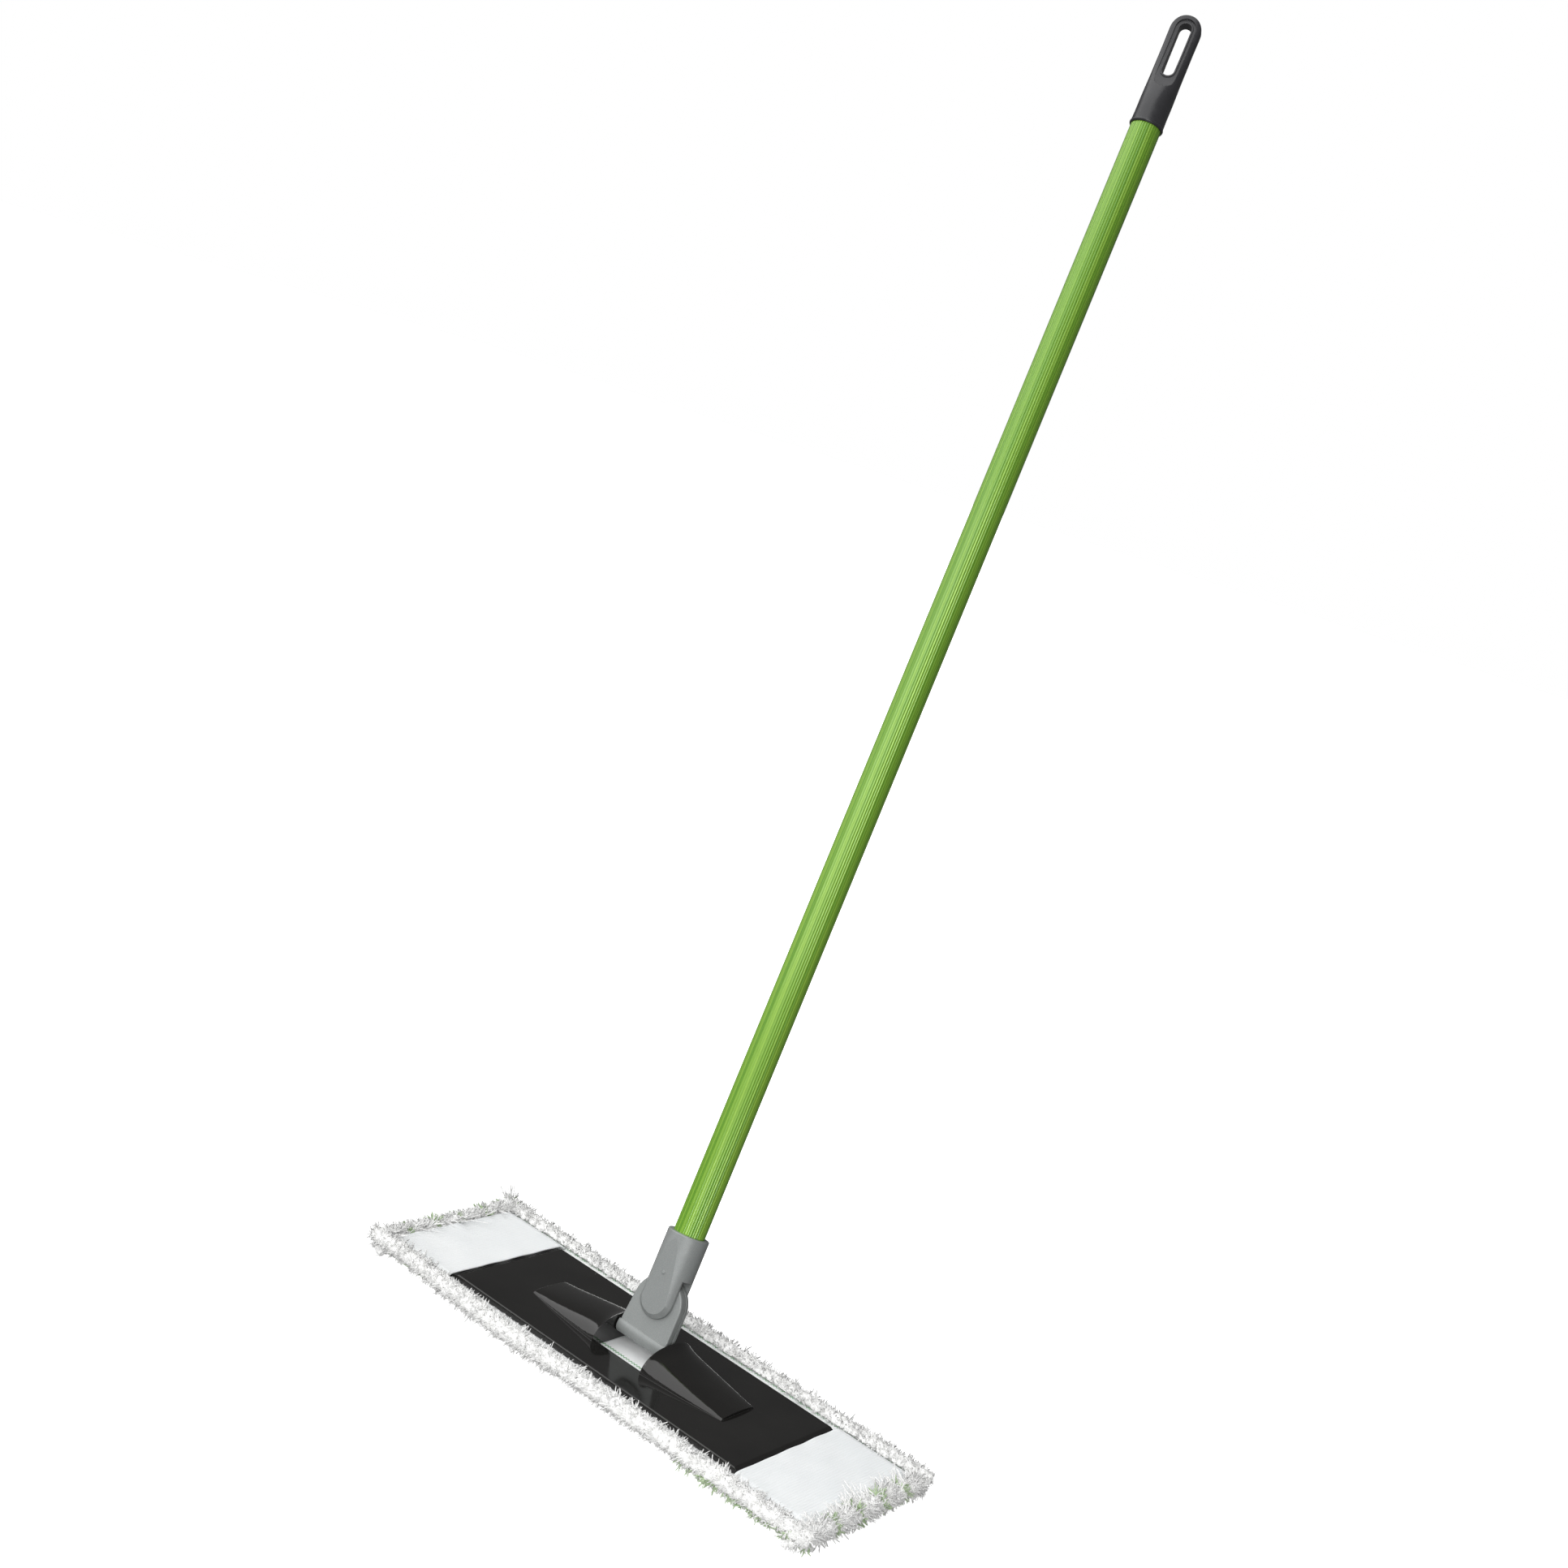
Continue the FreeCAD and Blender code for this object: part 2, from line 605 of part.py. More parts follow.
os.makedirs("parts", exist_ok=True)
write("pad_sole_pile", sole_pile())
write("pad_sole_stripes", sole_stripes())
write("pad_fringe_front", side_fringe(-1))
write("pad_fringe_back", side_fringe(1))
write("pad_fringe_left", end_fringe(-1))
write("pad_fringe_right", end_fringe(1))
write("pad_fringe_stripes", fringe_stripes())
write("pad_backing", backing())
write("pad_stripe_stitches", stripe_stitches())
write("pocket_left", pocket(-1))
write("pocket_right", pocket(1))
write("pocket_seams", Part.makeCompound([pocket_seams(-1), pocket_seams(1)]))
write("base_plate", base_plate())
write("hinge_axle", hinge_axle())
write("yoke", lean(yoke()))
write("swivel_pin", on_handle(swivel_pin()))
write("handle_socket", on_handle(handle_socket()))
write("thread_plug", on_handle(thread_plug()))
write("handle_tube", on_handle(handle_tube()))
write("hanger_cap", on_handle(hanger_cap()))
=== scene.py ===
import json
import math

import bmesh
import bpy
import numpy as np
from mathutils import Matrix, Vector


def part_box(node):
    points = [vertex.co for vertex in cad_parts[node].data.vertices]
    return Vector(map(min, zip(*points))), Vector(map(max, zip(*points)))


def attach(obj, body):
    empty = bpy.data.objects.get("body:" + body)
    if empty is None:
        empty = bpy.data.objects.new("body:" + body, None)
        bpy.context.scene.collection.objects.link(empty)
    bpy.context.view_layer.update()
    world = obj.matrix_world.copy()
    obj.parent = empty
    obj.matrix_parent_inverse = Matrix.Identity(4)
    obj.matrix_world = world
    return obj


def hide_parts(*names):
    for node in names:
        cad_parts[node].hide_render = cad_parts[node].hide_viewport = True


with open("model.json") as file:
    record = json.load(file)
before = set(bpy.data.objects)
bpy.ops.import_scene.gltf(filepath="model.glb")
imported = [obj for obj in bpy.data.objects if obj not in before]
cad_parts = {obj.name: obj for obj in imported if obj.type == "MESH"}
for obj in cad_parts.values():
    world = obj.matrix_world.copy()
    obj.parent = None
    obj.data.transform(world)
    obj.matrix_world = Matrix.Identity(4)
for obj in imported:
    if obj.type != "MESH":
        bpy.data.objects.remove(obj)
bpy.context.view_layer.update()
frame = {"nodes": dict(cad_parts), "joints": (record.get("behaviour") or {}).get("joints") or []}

SEED = 20

# Lengths are metres, x along the plate, -y the front, z up
MM = 0.001
TUBE_FLUTES = 36

# Painted glow: the pile emits this much light, standing in for light that scatters on between its fibres
PAINTED_GLOW = 0.08


def handle_frame():
    """The tube's own axes: z up its middle line, y along the swivel pin."""
    points = np.array([v.co for v in frame["nodes"]["handle_tube"].data.vertices])
    middle = (points.min(0) + points.max(0)) / 2
    up = Vector(np.linalg.svd(points - middle, full_matrices=False)[2][0])
    up *= math.copysign(1, up.z)
    pin = next(j for j in frame["joints"] if j["name"] == "handle_swing")
    across = Vector(pin["axis"]).cross(up).normalized()
    return Matrix.Translation(Vector(middle)) @ Matrix((across, up.cross(across), up)).transposed().to_4x4()


# ------------------------------------------------------------------ materials

class Finish:
    """A Principled material and the nodes that feed it."""

    def __init__(self, name, **constants):
        self.material = bpy.data.materials.new(name)
        self.material.use_nodes = True
        self.tree = self.material.node_tree
        self.shader = self.tree.nodes["Principled BSDF"]
        for socket, value in constants.items():
            self.shader.inputs[socket.replace("_", " ")].default_value = value
        self.where = self.node("TexCoord").outputs["Object"]

    def node(self, kind, inputs=None, **settings):
        made = self.tree.nodes.new("ShaderNode" + kind)
        for key, value in settings.items():
            setattr(made, key, value)
        for key, value in (inputs or {}).items():
            if isinstance(value, bpy.types.NodeSocket):
                self.tree.links.new(value, made.inputs[key])
            else:
                made.inputs[key].default_value = value
        return made

    def place(self, stretch=(1, 1, 1), turn=(0, 0, 0)):
        return self.node("Mapping", {"Vector": self.where, "Scale": stretch, "Rotation": turn}).outputs[0]

    def stand_on(self, matrix):
        """From here on, patterns follow that frame's axes."""
        inputs = {"Vector": self.where, "Location": matrix.translation, "Rotation": matrix.to_euler()}
        self.where = self.node("Mapping", inputs, vector_type="TEXTURE").outputs[0]

    def soften_edges(self, radius):
        """Edges catch the light as if rounded."""
        made = self.node("Bevel", {"Radius": radius}, samples=6)
        self.tree.links.new(made.outputs[0], self.shader.inputs["Normal"])

    def noise(self, scale, detail=3.0, stretch=(1, 1, 1), turn=(0, 0, 0)):
        inputs = {"Vector": self.place(stretch, turn), "Scale": scale, "Detail": detail}
        return self.node("TexNoise", inputs).outputs["Fac"]

    def waves(self, scale, direction, distortion):
        inputs = {"Vector": self.place(), "Scale": scale, "Distortion": distortion}
        return self.node("TexWave", inputs, bands_direction=direction).outputs["Fac"]

    def cells(self, scale):
        inputs = {"Vector": self.place(), "Scale": scale}
        return self.node("TexVoronoi", inputs).outputs["Distance"]

    def ramp(self, factor, low, high, start=0.3, end=0.7):
        """From low to high as factor goes from start to end."""
        return self.blend(self.level(factor, 0.0, 1.0, start, end), low, high)

    def level(self, factor, low, high, start=0.3, end=0.7):
        inputs = {"Value": factor, "From Min": start, "From Max": end, "To Min": low, "To Max": high}
        return self.node("MapRange", inputs).outputs[0]

    def both(self, a, b, how="ADD"):
        return self.node("Math", {0: a, 1: b}, operation=how).outputs[0]

    def blend(self, share, a, b):
        """Colour a where share is 0, and colour b where it is 1."""
        mix = self.node("Mix", data_type="RGBA")
        for index, value in ((0, share), (6, a), (7, b)):
            if isinstance(value, bpy.types.NodeSocket):
                self.tree.links.new(value, mix.inputs[index])
            elif index:
                mix.inputs[index].default_value = (*value, 1)
            else:
                mix.inputs[index].default_value = value
        return mix.outputs[2]

    def feed(self, socket, value):
        self.tree.links.new(value, self.shader.inputs[socket])

    def bump(self, height, depth):
        """Adds relief of that depth in metres over what is already there."""
        made = self.node("Bump", {"Height": height, "Distance": depth, "Strength": 1.0})
        old = self.shader.inputs["Normal"]
        if old.is_linked:
            self.tree.links.new(old.links[0].from_socket, made.inputs["Normal"])
        self.tree.links.new(made.outputs["Normal"], old)


def pile(name, low, high, painted_shade):
    f = Finish(name, Roughness=1.0, Sheen_Weight=0.25, Sheen_Roughness=0.6, Specular_IOR_Level=0.1,
               Emission_Strength=PAINTED_GLOW)
    # Painted glow: the pile gives off light of its lightest colour
    f.shader.inputs["Emission Color"].default_value = (*high, 1)
    tint = f.ramp(f.noise(160), low, high, 0.35, 0.65)
    # Painted shade: a darker colour mixed in at random patches, standing in for shade in the creases
    # between tufts
    f.feed("Base Color", f.blend(f.level(f.noise(550, 2), 0.0, 0.5), tint, painted_shade))
    f.bump(f.noise(900, 3), 0.0007)
    return f.material


def backing_cloth():
    f = Finish("backing_cloth", Roughness=0.95, Sheen_Weight=0.15, Specular_IOR_Level=0.2)
    f.feed("Base Color", f.ramp(f.noise(45, 5), (0.86, 0.875, 0.875), (0.92, 0.93, 0.93)))
    weave = f.both(f.waves(330, "X", 0.6), f.waves(330, "Y", 0.6), "MULTIPLY")
    f.bump(weave, 0.00016)
    f.bump(f.noise(120, 4), 0.0004)
    return f.material


def pocket_cloth():
    f = Finish("pocket_cloth", Roughness=0.9, Sheen_Weight=0.2, Specular_IOR_Level=0.25)
    fade = f.ramp(f.noise(26, 5), (0.86, 0.885, 0.895), (0.92, 0.935, 0.94))
    rib = f.waves(150, "X", 0.8)
    f.feed("Base Color", f.blend(f.level(rib, 0.0, 0.10, 0.0, 1.0), fade, (0.62, 0.66, 0.68)))
    f.bump(rib, 0.00012)
    f.bump(f.waves(420, "Y", 1.2), 0.00005)
    f.bump(f.noise(900, 3), 0.00006)
    return f.material


def thread(name, low, high):
    f = Finish(name, Roughness=0.7, Sheen_Weight=0.2)
    f.feed("Base Color", f.ramp(f.noise(700, 2), low, high))
    f.bump(f.waves(1500, "DIAGONAL", 0.4), 0.0001)
    return f.material


def plate_black():
    f = Finish("plate_black", IOR=1.55)
    f.soften_edges(0.0006)
    grime = f.noise(28, 6)
    f.feed("Base Color", f.ramp(grime, (0.0085, 0.0080, 0.0075), (0.0125, 0.0120, 0.0110)))
    scuffs = f.noise(60, 8, (1, 9, 1), (0, 0, 0.35))
    f.feed("Roughness", f.both(f.level(scuffs, 0.055, 0.12, 0.45, 0.75), f.level(grime, 0.0, 0.03)))
    f.bump(f.noise(70, 2), 0.00003)
    f.bump(f.noise(1400, 2), 0.000003)
    return f.material


def satin_grey(name, low, high, roughness):
    f = Finish(name, IOR=1.45, Metallic=0.12)
    f.soften_edges(0.0007)
    fleck = f.cells(1900)
    flow = f.ramp(f.noise(22, 4, (1, 1, 0.4)), low, high)
    f.feed("Base Color", f.blend(f.level(fleck, 0.0, 0.18, 0.55, 0.1), flow, (0.62, 0.63, 0.64)))
    f.feed("Roughness", f.level(f.noise(240, 4), roughness - 0.04, roughness + 0.07))
    f.bump(f.noise(1500, 3), 0.000025)
    return f.material


def steel(name, roughness):
    f = Finish(name, Metallic=1.0)
    turned = f.waves(900, "X", 0.5)
    f.feed("Base Color", f.ramp(turned, (0.45, 0.45, 0.46), (0.60, 0.60, 0.61), 0.0, 1.0))
    f.feed("Roughness", f.level(f.noise(400, 4), roughness, roughness + 0.15))
    f.bump(turned, 0.000006)
    return f.material


def plug_plastic():
    f = Finish("plug_plastic", IOR=1.5)
    f.feed("Base Color", f.ramp(f.noise(80, 4), (0.30, 0.31, 0.31), (0.36, 0.37, 0.37)))
    f.feed("Roughness", f.level(f.noise(500, 3), 0.35, 0.5))
    f.bump(f.noise(1300, 3), 0.00002)
    return f.material


def tube_green():
    f = Finish("tube_green", IOR=1.5, Coat_Weight=0.4, Coat_Roughness=0.12, Metallic=0.15)
    f.stand_on(handle_frame())
    split = f.node("SeparateXYZ", {"Vector": f.where})
    turn = f.both(split.outputs["Y"], split.outputs["X"], "ARCTAN2")
    rib = f.node("Math", {0: f.both(turn, TUBE_FLUTES, "MULTIPLY")}, operation="COSINE").outputs[0]
    # Partly painted light: the paint's random tone, stretched along the tube into lighter and darker
    # streaks that stand in for light catching the ribs
    paint_and_painted_streaks = f.ramp(f.noise(380, 2, (1, 1, 0.004)), (0.120, 0.310, 0.016), (0.270, 0.500, 0.050), 0.36, 0.64)
    # Painted shade: the paint darkens in the flutes' valleys
    f.feed("Base Color", f.blend(f.level(rib, 0.0, 0.14, 0.0, 1.0), paint_and_painted_streaks, (0.070, 0.230, 0.016)))
    f.feed("Roughness", f.level(f.noise(300, 3, (1, 1, 0.02)), 0.26, 0.36))
    return f.material


def cap_charcoal():
    f = Finish("cap_charcoal", IOR=1.5)
    f.soften_edges(0.0006)
    f.feed("Base Color", f.ramp(f.noise(35, 5), (0.030, 0.030, 0.033), (0.042, 0.042, 0.046)))
    f.feed("Roughness", f.level(f.noise(320, 5), 0.26, 0.40))
    f.bump(f.noise(1100, 3), 0.00002)
    return f.material


# Each pile's last colour is the painted shade mixed into it
WHITE_PILE = pile("pile_white", (0.90, 0.90, 0.885), (0.97, 0.97, 0.965), (0.70, 0.70, 0.685))
GREEN_PILE = pile("pile_green", (0.30, 0.46, 0.20), (0.62, 0.72, 0.52), (0.42, 0.56, 0.34))
BACKING = backing_cloth()
POCKET = pocket_cloth()
GREEN_THREAD = thread("green_yarn", (0.10, 0.36, 0.13), (0.22, 0.52, 0.22))
SEAM_THREAD = thread("seam_thread", (0.50, 0.53, 0.54), (0.72, 0.74, 0.75))

for node_name, finish in (
    ("base_plate", plate_black()),
    ("hinge_axle", steel("axle_steel", 0.25)),
    ("yoke", satin_grey("joint_grey", (0.245, 0.260, 0.255), (0.285, 0.300, 0.295), 0.40)),
    ("handle_socket", satin_grey("socket_grey", (0.250, 0.265, 0.262), (0.290, 0.305, 0.300), 0.38)),
    ("swivel_pin", steel("pin_steel", 0.3)),
    ("thread_plug", plug_plastic()),
    ("handle_tube", tube_green()),
    ("hanger_cap", cap_charcoal()),
):
    for own in frame["nodes"][node_name].material_slots:
        own.material = finish


# ------------------------------------------------------------------ meshes

def add_piece(name, vertices, faces, material, body, slot, replaced=(), smooth=True):
    mesh = bpy.data.meshes.new(name)
    mesh.from_pydata(np.asarray(vertices).tolist(), [], faces)
    mesh.materials.append(material)
    mesh.polygons.foreach_set("use_smooth", [smooth] * len(mesh.polygons))
    mesh.update()
    made = bpy.data.objects.new(name, mesh)
    bpy.context.scene.collection.objects.link(made)
    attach(made, body)
    if replaced:
        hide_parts(*replaced)
    return made


def smooth_step(t):
    t = np.clip(t, 0, 1)
    return t * t * (3 - 2 * t)


def unit(v):
    return v / np.maximum(np.linalg.norm(v, axis=-1, keepdims=True), 1e-9)


def strand_mesh(roots, ways, bends, lengths, radii, floor):
    """Closed three-sided tapering strands: vertices and faces."""
    count = len(roots)
    side = unit(np.cross(ways, np.where(np.abs(ways[:, 2:]) < 0.8, (0, 0, 1.0), (1.0, 0, 0))))
    over = np.cross(ways, side)
    points = []
    for t, thick in ((0.0, 0.9), (0.5, 1.15), (0.9, 0.9)):
        middle = roots + ways * (lengths * t)[:, None] + bends * (lengths * t * t)[:, None]
        for corner in range(3):
            a = corner * 2 * math.pi / 3 + t
            points.append(middle + (side * math.cos(a) + over * math.sin(a)) * (radii * thick)[:, None])
    points.append(roots + (ways + bends) * lengths[:, None])
    grid = np.stack(points, axis=1)
    grid[:, :, 2] = np.maximum(grid[:, :, 2], floor)
    faces = []
    for n in range(count):
        b = 10 * n
        faces.append((b + 2, b + 1, b))
        for ring in (0, 3):
            for c in range(3):
                d = (c + 1) % 3
                faces.append((b + ring + c, b + ring + d, b + ring + 3 + d, b + ring + 3 + c))
        for c in range(3):
            faces.append((b + 6 + c, b + 6 + (c + 1) % 3, b + 9))
    return grid.reshape(-1, 3), faces


def tufts(rng, spots, normals, clump, length, radius, per_clump, spread, floor=0.0003):
    """Clumps of strands standing on spots; clump says how far their roots scatter."""
    count = len(spots)
    lean = unit(normals + rng.normal(0, 0.26, (count, 3)))
    reach = length * rng.uniform(0.85, 1.12, count)
    roots = np.repeat(spots, per_clump, 0) + rng.normal(0, clump, (count * per_clump, 3))
    ways = unit(np.repeat(lean, per_clump, 0) + rng.normal(0, spread, (count * per_clump, 3)))
    bends = rng.normal(0, 0.26, (count * per_clump, 3))
    bends += np.repeat(rng.normal(0, 0.4, (count, 3)), per_clump, 0)
    lengths = np.repeat(reach, per_clump) * rng.uniform(0.78, 1.1, count * per_clump)
    radii = radius * rng.uniform(0.7, 1.3, count * per_clump)
    return strand_mesh(roots, ways, bends, lengths, radii, floor)


def unit_ball():
    made = bmesh.new()
    bmesh.ops.create_icosphere(made, subdivisions=2, radius=1)
    points = np.array([v.co for v in made.verts])
    faces = [tuple(v.index for v in face.verts) for face in made.faces]
    made.free()
    return points, faces


def lumps(rng, spots, size, floor=0.0003):
    """Uneven balls of yarn on spots."""
    ball, triangles = unit_ball()
    count = len(spots)
    swell = size * rng.uniform(0.8, 1.2, (count, 1, 1)) * (1 + rng.normal(0, 0.1, (count, len(ball), 1)))
    points = (np.asarray(spots)[:, None, :] + ball[None] * swell).reshape(-1, 3)
    points[:, 2] = np.maximum(points[:, 2], floor)
    faces = [tuple(n * len(ball) + i for i in triangle) for n in range(count) for triangle in triangles]
    return points, faces


def joined(*parts):
    vertices, faces, start = [], [], 0
    for points, polygons in parts:
        vertices.append(np.asarray(points))
        faces.extend(tuple(start + i for i in polygon) for polygon in polygons)
        start += len(points)
    return np.concatenate(vertices), faces


def core_of(node, low, high):
    """A copy of a CAD node's mesh, fitted to the box from low to high."""
    source = frame["nodes"][node].data
    points = np.array([v.co for v in source.vertices])
    old_low, old_high = points.min(0), points.max(0)
    points = low + (points - old_low) / (old_high - old_low) * (np.array(high) - low)
    return points, [tuple(p.vertices) for p in source.polygons]


def jittered(rng, count, low, high):
    """Evenly spaced positions with some scatter."""
    step = (high - low) / count
    return low + step * (np.arange(count) + 0.5 + rng.uniform(-0.45, 0.45, count))


def inset_box(node, inset):
    low, high = (np.array(corner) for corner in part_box(node))
    return low + np.array(inset[0]), high - np.array(inset[1])


# ------------------------------------------------------------------ pad

STRIPES = sorted({round(v.co.y, 4) for v in frame["nodes"]["pad_stripe_stitches"].data.vertices})
STRIPE_LINES = [(a + b) / 2 for a, b in zip(STRIPES[::2], STRIPES[1::2])]
STRIPE_HALF = 2.6 * MM
BACK_LEFT = Vector((-0.212, 0.079, 0))

# Half-thickness of one strand of yarn
STRAND = 0.42 * MM
GREEN_STRAND = 0.45 * MM

# Half-length, half-width and corner radius of the rounded rectangle that the tufts stand on
FRINGE_OUTLINE = (np.array((214.0, 79.8)) * MM, 8 * MM)
SOLE_OUTLINE = (np.array((211.0, 79.0)) * MM, 11 * MM)

# The sole's top, how far in its sides stand there, and how much further in per height below
SOLE_TOP = 8 * MM
SOLE_TUCK = 5.4 * MM
SOLE_SLOPE = 1.9
RIGHT_END_OUT = 2.5 * MM
UNDERSIDE = (200 * MM, 63 * MM)
UNDERSIDE_LEVEL = 3.4 * MM
UNDERSIDE_LENGTH = 4.6 * MM

# Green strands along the front's lower edge, in mm
GREEN_EDGE_TUFTS = 110
GREEN_EDGE_SPAN = (100, 211)
GREEN_EDGE_DEPTH = 78.0


def round_corners(spots, normals, reach, radius):
    """Brings spots within a rounded rectangle, and turns their normals outward at its corners."""
    flat = spots[:, :2]
    flat[:] = np.clip(flat, -reach, reach)
    past = np.abs(flat) - (reach - radius)
    far = np.linalg.norm(past, axis=1)
    corner = (past > 0).all(axis=1)
    pull = np.where(corner & (far > radius), radius / np.maximum(far, MM), 1.0)
    flat[:] = np.where(corner[:, None], np.sign(flat) * (reach - radius + past * pull[:, None]), flat)
    outward = np.sign(flat) * np.maximum(past, 0) / np.maximum(far, MM)[:, None]
    normals[:, :2] += np.where(corner[:, None], outward, 0)


# Each fringe roll: its middle's inset, half-width, rise over height, last angle and the inner side's growth
ROLLS = {
    "pad_fringe_front": (9.0 * MM, 4.2 * MM, 0.30, 175, 0.15),
    "pad_fringe_back": (8.0 * MM, 4.2 * MM, 0.34, 160, 0.0),
    "pad_fringe_left": (7.0 * MM, 4.5 * MM, 0.36, 155, 2.0),
    "pad_fringe_right": (5.4 * MM, 4.5 * MM, 0.46, 155, 1.6),
}
ROLL_LEVEL = 0.26
ROLL_START = math.radians(-45)
PILE_LENGTH = 3.5 * MM
CORNER_TUFT = 9 * MM
FRINGE_FLOOR = 2.0 * MM


def sway(spots):
    """How far the front edge bulges forward left of its middle, and draws back at its left end."""
    x = spots[:, 0] / MM
    bulge = 4.0 * np.exp(-((x + 60) / 50) ** 2)
    drawn_back = 3.5 * smooth_step((-125 - x) / 45)
    return np.where(spots[:, 1] < 0, bulge - drawn_back, 0.0) * MM


def roll_of_tufts(node, seed, spacing):
    """Spots, normals and lengths over a roll along a CAD fringe bar, from its outer side over the top."""
    rng = np.random.default_rng(seed)
    low, high = (np.array(corner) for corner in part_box(node))
    inset, half, lift, last, inner = ROLLS[node]
    along = 0 if high[0] - low[0] > high[1] - low[1] else 1
    across = 1 - along
    out = 1.0 if low[across] > 0 else -1.0
    middle = (high[across] if out > 0 else low[across]) - out * inset
    height = high[2] - low[2]
    level = low[2] + ROLL_LEVEL * height
    sweep = math.radians(last) - ROLL_START
    rows = round(sweep * half / spacing)
    columns = int((high[along] - low[along]) / spacing)
    spots, normals = np.zeros((rows * columns, 3)), np.zeros((rows * columns, 3))
    turn = np.repeat(ROLL_START + sweep * (np.arange(rows) + 0.5) / rows, columns)
    turn += rng.uniform(-0.25, 0.25, rows * columns)
    spots[:, along] = np.concatenate([jittered(rng, columns, low[along], high[along]) for _ in range(rows)])
    spots[:, across] = middle + out * half * np.cos(turn)
    spots[:, 2] = level + lift * height * np.sin(turn)
    normals[:, across], normals[:, 2] = out * np.cos(turn), np.sin(turn)
    place = spots[:, along]
    swell = 1 + 0.14 * np.sin(place * 210 + seed) * np.sin(place * 83 + 2 * seed)
    tuft = np.exp(-(np.linalg.norm(spots[:, :2] - np.array(BACK_LEFT.xy), axis=1) / CORNER_TUFT) ** 2)
    inward = 1 + inner * smooth_step((turn - 1.7) / 0.8)
    length = PILE_LENGTH * swell * inward * (1 + 1.2 * tuft)
    round_corners(spots, normals, *FRINGE_OUTLINE)
    spots[:, 1] -= sway(spots)
    return spots, normals, length, rng


def soften(made, reach, level, lift, share=0.45):
    """Turns shading normals out from the pad's middle, as light scatters among fibres."""
    mesh = made.data
    points, own = np.empty(3 * len(mesh.vertices)), np.empty(3 * len(mesh.vertices))
    mesh.vertices.foreach_get("co", points)
    mesh.vertex_normals.foreach_get("vector", own)
    points, own = points.reshape(-1, 3), own.reshape(-1, 3)
    reach = np.array((*reach, 0)) * MM
    outward = unit((points - np.clip(points, -reach, reach) - (0, 0, level)) * (1, 1, lift))
    mesh.normals_split_custom_set_from_vertices(unit((1 - share) * own + share * outward).tolist())


# For soften: the middle's half-size in mm, its level, and how much of the turn is upward
FRINGE_SOFT = ((206, 74), 9 * MM, 1.0)
SOLE_SOFT = ((192, 56), 9 * MM, 0.25)


def near_stripe(spots, share):
    """Which spots lie within that share of a stripe's half-width."""
    return np.min(np.abs(spots[:, 1:2] - np.array(STRIPE_LINES)), axis=1) < STRIPE_HALF * share


def build_fringe(node, seed):
    spots, normals, length, rng = roll_of_tufts(node, seed, 2.5 * MM)
    balls = roll_of_tufts(node, seed + 50, 3.1 * MM)[0]
    ends = node in ("pad_fringe_left", "pad_fringe_right")
    if ends:
        clear = ~near_stripe(spots, 0.75)
        spots, normals, length = spots[clear], normals[clear], length[clear]
        balls = balls[~near_stripe(balls, 0.5)]
    strands = tufts(rng, spots, normals, 0.9 * MM, length, STRAND, 6, 0.4, floor=FRINGE_FLOOR)
    side = np.array((7.0, 3.0, 0) if ends else (10.0, 7.0, 0)) * MM
    low, high = inset_box(node, (side, side + (0, 0, 5.2 * MM)))
    across = 0 if ends else 1
    if low[across] > 0:
        low[across] -= side[across]
    else:
        high[across] += side[across]
    parts = (core_of(node, low, high), lumps(rng, balls, 2.3 * MM, FRINGE_FLOOR), strands)
    soften(add_piece(node.replace("pad_", "pile_"), *joined(*parts),
                     WHITE_PILE, "head", "pile_white", (node,)), *FRINGE_SOFT)


def build_fringe_stripes():
    parts = []
    for node, seed in (("pad_fringe_left", 41), ("pad_fringe_right", 42)):
        spots, normals, length, rng = roll_of_tufts(node, seed, 1.9 * MM)
        close = near_stripe(spots, 0.7)
        reach = np.minimum(length[close] * 1.12, 5 * MM)
        parts.append(tufts(rng, spots[close], normals[close], 0.6 * MM, reach, 0.5 * MM,
                           6, 0.36, floor=FRINGE_FLOOR))
        parts.append(lumps(rng, spots[close][::2], 1.9 * MM, FRINGE_FLOOR))
    spots, normals, length, rng = roll_of_tufts("pad_fringe_back", 43, 3.0 * MM)
    corner = np.linalg.norm(spots[:, :2] - np.array(BACK_LEFT.xy), axis=1) < CORNER_TUFT
    corner &= rng.uniform(0, 1, len(spots)) < 0.5
    parts.append(tufts(rng, spots[corner], normals[corner], 0.4 * MM, length[corner] * 1.1,
                       GREEN_STRAND, 6, 0.3))
    soften(add_piece("pile_fringe_stripes", *joined(*parts), GREEN_PILE, "head", "pile_green",
                     ("pad_fringe_stripes",)), *FRINGE_SOFT)


def sole_tuck(z):
    """How far in the sole's sides stand at height z."""
    return SOLE_TUCK + SOLE_SLOPE * (SOLE_TOP - z)


def sole_side_spots(rng, low, high, spacing):
    """Spots and outward normals round the sole's four sides."""
    spots, normals = [], []
    for axis in (0, 1):
        other = 1 - axis
        columns = int((high[axis] - low[axis]) / spacing)
        for sign in (-1, 1):
            for z in (2.2 * MM, 4.4 * MM, 6.6 * MM):
                spot = np.zeros((columns, 3))
                spot[:, axis] = jittered(rng, columns, low[axis], high[axis])
                spot[:, 2] = z + rng.uniform(-0.8, 0.8, columns) * MM
                tuck = sole_tuck(spot[:, 2]) - (RIGHT_END_OUT if axis == 0 and sign > 0 else 0)
                spot[:, other] = (low, high)[sign > 0][other] - sign * tuck
                normal = np.zeros((columns, 3))
                normal[:, other] = sign
                normal[:, 2] = -0.1
                spots.append(spot)
                normals.append(normal)
    spots, normals = np.concatenate(spots), np.concatenate(normals)
    round_corners(spots, normals, *SOLE_OUTLINE)
    spots[:, 1] -= sway(spots)
    return spots, normals


